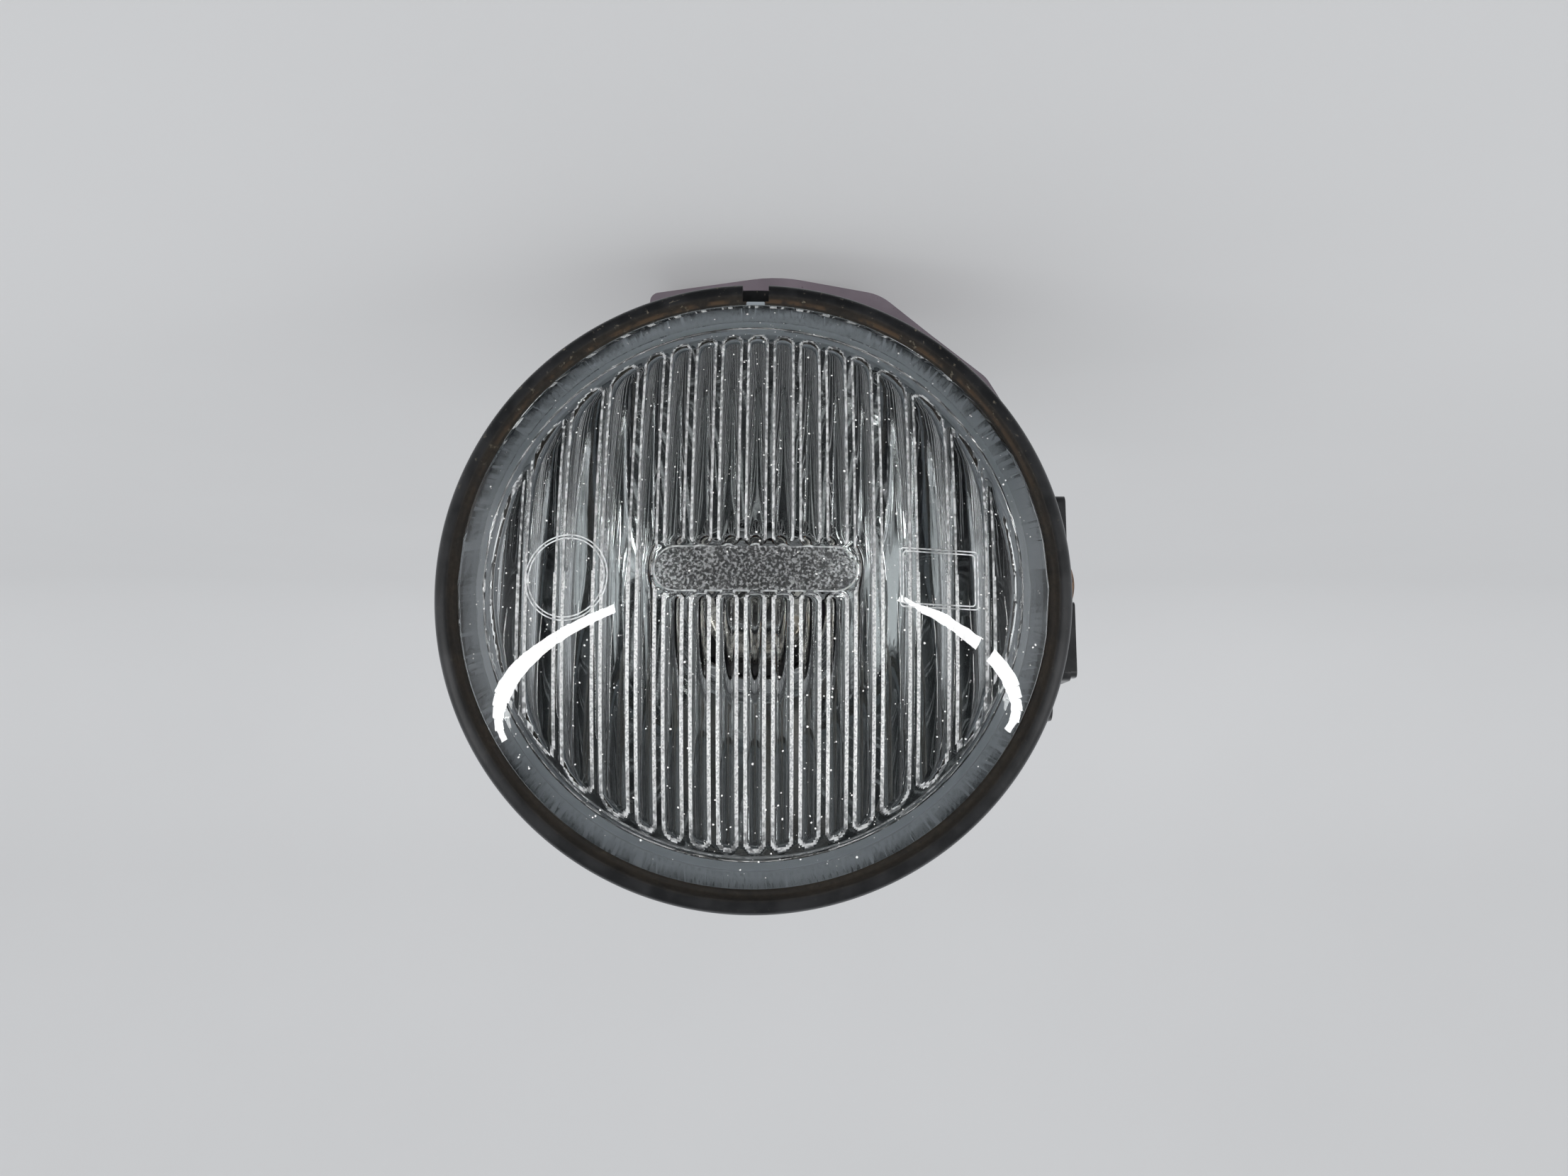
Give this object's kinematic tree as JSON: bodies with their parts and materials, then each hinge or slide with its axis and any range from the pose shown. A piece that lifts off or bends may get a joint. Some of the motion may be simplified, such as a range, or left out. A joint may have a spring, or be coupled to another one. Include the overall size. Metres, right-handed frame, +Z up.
{
  "type": "round fog light",
  "caption": "Round vehicle fog light: fluted glass lens in a black ring, metallised bowl, moulded housing with a lower skirt, twist-in bulb and a tilting steel bracket.",
  "frame": {"origin": "on the lens axis, inside the outer cylinder of the bezel ring, 1 mm behind the ring's shoulder", "axes": "the lens faces -Y, +Z is up on the car, X runs across the car, the bracket is on the -X side"},
  "size_m": [0.1001, 0.0792, 0.0997],
  "materials": {
    "lens_glass": "pressed clear glass, fluted inside",
    "grey_seal": "matt blue-grey",
    "ring_black": "weathered black, dusty groove",
    "mirror": "vacuum metallised inside",
    "housing_plastic": "satin mauve grey",
    "black_rubber": "matt",
    "zinc_screw": "zinc plated",
    "capsule_glass": "clear quartz",
    "tungsten": "matt",
    "nickel_collar": "satin nickel",
    "base_plastic": "fine moulded grain",
    "seal_orange": "silicone",
    "tin_blade": "tinned",
    "felt": "felt",
    "black_steel": "black paint, rubbed at edges",
    "rusty_steel": "rusted",
    "nylon": "natural nylon",
    "spring_steel": "blued"
  },
  "bodies": {
    "bracket": {"mount_bracket": "black_steel", "pivot_rivet": "rusty_steel", "pivot_washer": "rusty_steel", "friction_washer": "nylon", "backing_washer": "rusty_steel", "aim_grommet": "nylon"},
    "lamp": {"lens": "lens_glass", "lens_seal": "grey_seal", "bezel_ring": "ring_black", "reflector": "mirror", "housing": "housing_plastic", "housing_gasket": "black_rubber", "housing_screws": "zinc_screw", "vent_elbow": "black_rubber", "vent_filter": "felt", "lamp_ear": "black_steel", "ear_screws": "zinc_screw", "aim_nut": "nylon"},
    "bulb": {"bulb_glass": "capsule_glass", "filament": "tungsten", "bulb_collar": "nickel_collar", "bulb_base": "base_plastic", "bulb_oring": "seal_orange", "terminals": "tin_blade"},
    "aim_screw": {"aim_screw": "zinc_screw", "aim_clip": "spring_steel"}
  },
  "joints": [
    {"name": "aim_tilt", "type": "hinge", "parent": "bracket", "child": "lamp", "pos_m": [-0.0473, 0.033, -0.006], "axis": [1, 0, 0], "range_deg": [-5, 5]},
    {"name": "aim_turn", "type": "hinge", "parent": "bracket", "child": "aim_screw", "pos_m": [-0.0315, 0.05, 0.024], "axis": [0, 1, 0], "range_deg": [-945, 945]},
    {"name": "bulb_turn", "type": "hinge", "parent": "lamp", "child": "bulb", "pos_m": [0, 0.0386, 0], "axis": [0, 1, 0], "range_deg": [0, 45]}
  ],
  "couplings": [
    {"joint": "aim_turn", "follows": "aim_tilt", "ratio": 188.5}
  ]
}
